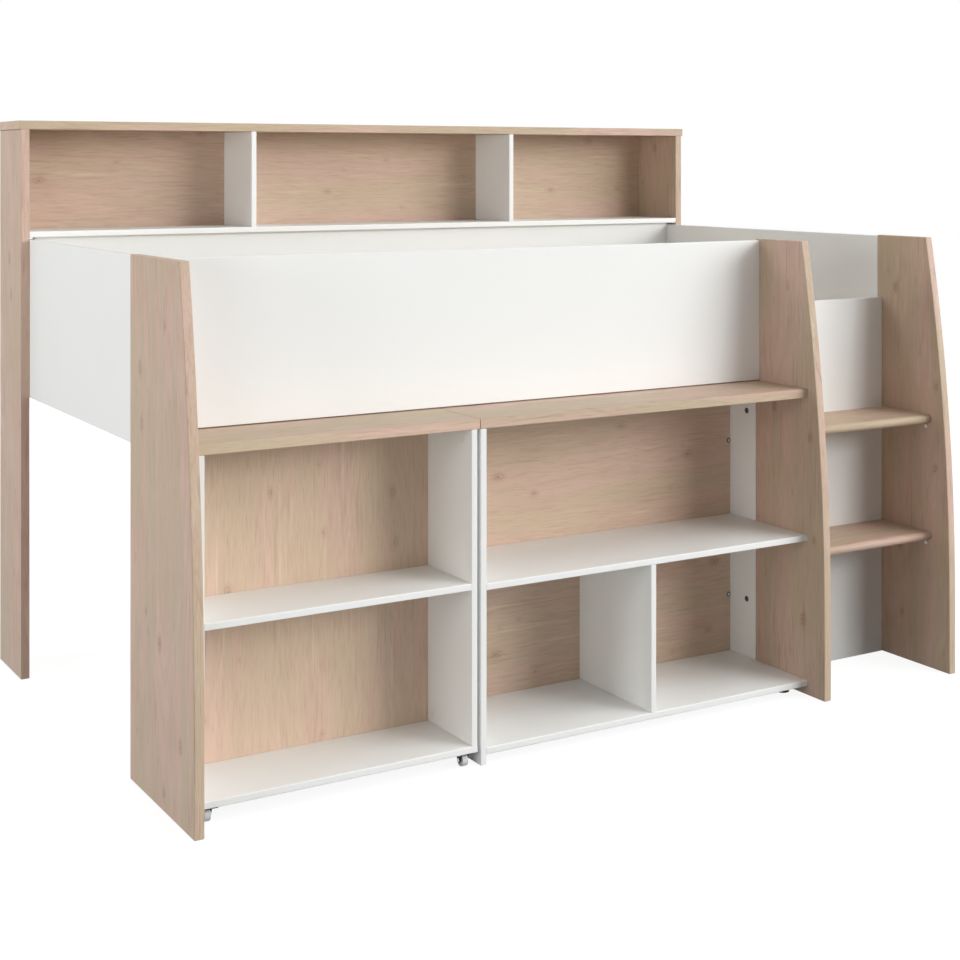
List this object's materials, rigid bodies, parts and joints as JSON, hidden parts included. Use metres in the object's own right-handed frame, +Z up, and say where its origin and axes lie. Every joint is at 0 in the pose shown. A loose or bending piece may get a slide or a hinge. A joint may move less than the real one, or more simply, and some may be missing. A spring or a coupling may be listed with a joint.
{
  "type": "mid sleeper bed",
  "caption": "Raised single bed in white and wood decor boards, with curved uprights, side ladder, shelves along the back, a fixed bookcase and a desk unit that rolls out on castors.",
  "frame": {"origin": "on the floor, under the middle of the bed's outer box", "axes": "+X along the bed towards the ladder, +Y from the front to the long shelf at the back, +Z up"},
  "size_m": [2.096, 1.364, 1.41],
  "materials": {
    "wood_decor": "satin printed wood decor",
    "white_melamine": "satin white melamine facing",
    "pine": "planed, unfinished",
    "black_steel": "black coated",
    "zinc_steel": "zinc plated",
    "grey_nylon": "moulded",
    "black_plastic": "moulded",
    "white_plastic": "moulded"
  },
  "bodies": {
    "bed_frame": {"left_upright": "wood_decor", "middle_upright": "wood_decor", "right_upright": "wood_decor", "left_end_panel": "white_melamine", "right_end_panel": "white_melamine", "front_guard": "white_melamine", "back_rail": "white_melamine", "ladder_riser": "white_melamine", "ladder_step_lower": "wood_decor", "ladder_step_upper": "wood_decor", "slat_ledge_front": "pine", "slat_ledge_back": "pine", "slat_01": "pine", "slat_02": "pine", "slat_03": "pine", "slat_04": "pine", "slat_05": "pine", "slat_06": "pine", "slat_07": "pine", "slat_08": "pine", "slat_09": "pine", "slat_10": "pine", "slat_11": "pine", "slat_12": "pine", "slat_13": "pine", "left_back_post": "wood_decor", "right_back_post": "wood_decor", "back_shelf_top": "wood_decor", "back_shelf_bottom": "white_melamine", "back_shelf_panel": "wood_decor", "back_shelf_divider_left": "white_melamine", "back_shelf_divider_right": "white_melamine", "bookcase_side": "white_melamine", "bookcase_strip": "white_melamine", "bookcase_top": "wood_decor", "bookcase_shelf": "white_melamine", "bookcase_bottom": "white_melamine", "bookcase_divider": "white_melamine", "bookcase_back": "wood_decor", "bookcase_glide_front": "black_plastic", "bookcase_glide_rear": "black_plastic"},
    "desk_unit": {"desk_top": "wood_decor", "desk_side_left": "white_melamine", "desk_side_right": "white_melamine", "desk_shelf": "white_melamine", "desk_bottom": "white_melamine", "desk_back": "wood_decor", "castor_bracket_front_left": "black_steel", "castor_bracket_front_right": "black_steel", "castor_bracket_rear_left": "black_steel", "castor_bracket_rear_right": "black_steel", "castor_axle_front_left": "zinc_steel", "castor_axle_front_right": "zinc_steel", "castor_axle_rear_left": "zinc_steel", "castor_axle_rear_right": "zinc_steel"},
    "wheel_front_left": {"castor_wheel_front_left": "grey_nylon"},
    "wheel_front_right": {"castor_wheel_front_right": "grey_nylon"},
    "wheel_rear_left": {"castor_wheel_rear_left": "grey_nylon"},
    "wheel_rear_right": {"castor_wheel_rear_right": "grey_nylon"}
  },
  "joints": [
    {"name": "desk_roll_out", "type": "slide", "parent": "bed_frame", "child": "desk_unit", "axis": [0, -1, 0], "range_m": [0, 0.45]},
    {"name": "wheel_front_left_turn", "type": "hinge", "parent": "desk_unit", "child": "wheel_front_left", "pos_m": [-0.97, -0.6, 0.014], "axis": [1, 0, 0], "continuous": true},
    {"name": "wheel_front_right_turn", "type": "hinge", "parent": "desk_unit", "child": "wheel_front_right", "pos_m": [-0.382, -0.6, 0.014], "axis": [1, 0, 0], "continuous": true},
    {"name": "wheel_rear_left_turn", "type": "hinge", "parent": "desk_unit", "child": "wheel_rear_left", "pos_m": [-0.97, -0.334, 0.014], "axis": [1, 0, 0], "continuous": true},
    {"name": "wheel_rear_right_turn", "type": "hinge", "parent": "desk_unit", "child": "wheel_rear_right", "pos_m": [-0.382, -0.334, 0.014], "axis": [1, 0, 0], "continuous": true}
  ],
  "couplings": [
    {"joint": "wheel_front_left_turn", "follows": "desk_roll_out", "rad_per_m": 71.429},
    {"joint": "wheel_front_right_turn", "follows": "desk_roll_out", "rad_per_m": 71.429},
    {"joint": "wheel_rear_left_turn", "follows": "desk_roll_out", "rad_per_m": 71.429},
    {"joint": "wheel_rear_right_turn", "follows": "desk_roll_out", "rad_per_m": 71.429}
  ]
}
